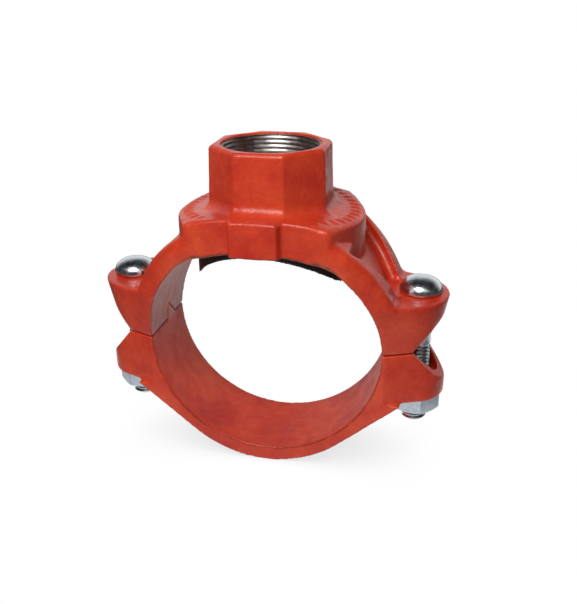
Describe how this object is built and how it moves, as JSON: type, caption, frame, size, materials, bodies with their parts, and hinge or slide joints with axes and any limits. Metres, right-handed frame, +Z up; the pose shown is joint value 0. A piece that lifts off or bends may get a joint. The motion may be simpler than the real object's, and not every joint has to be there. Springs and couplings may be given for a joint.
{
  "type": "mechanical tee",
  "caption": "Bolted mechanical tee: two painted iron halves that clamp round a pipe, with a threaded octagonal branch outlet, rubber gasket and zinc track bolts.",
  "frame": {"origin": "where the run pipe's axis crosses the branch outlet's axis", "axes": "+X from bolt to bolt, +Y along the run pipe, +Z up the branch outlet, out of its threaded mouth"},
  "size_m": [0.1754, 0.0846, 0.1615],
  "materials": {
    "housing_enamel": "orange-red enamel over cast ductile iron",
    "gasket_rubber": "matt moulded EPDM",
    "bolt_zinc": "bright zinc plate",
    "machined_iron": "bare machined iron in the branch's thread",
    "nut_zinc": "zinc plate, slightly dull"
  },
  "bodies": {
    "upper_housing": {"upper_housing": "housing_enamel", "gasket": "gasket_rubber", "left_bolt": "bolt_zinc", "right_bolt": "bolt_zinc"},
    "lower_housing": {"lower_housing": "housing_enamel"},
    "left_nut": {"left_nut": "nut_zinc"},
    "right_nut": {"right_nut": "nut_zinc"}
  },
  "joints": [
    {"name": "lower_housing_slide", "type": "slide", "parent": "upper_housing", "child": "lower_housing", "axis": [0, 0, -1], "range_m": [0, 0.00586]},
    {"name": "left_nut_turn", "type": "hinge", "parent": "lower_housing", "child": "left_nut", "pos_m": [-0.0737, 0, 0], "axis": [0, 0, -1], "range_deg": [0, 1080]},
    {"name": "right_nut_turn", "type": "hinge", "parent": "lower_housing", "child": "right_nut", "pos_m": [0.0737, 0, 0], "axis": [0, 0, -1], "range_deg": [0, 1080]}
  ],
  "couplings": [
    {"joint": "left_nut_turn", "follows": "lower_housing_slide", "rad_per_m": 3215.8},
    {"joint": "right_nut_turn", "follows": "lower_housing_slide", "rad_per_m": 3215.8}
  ]
}
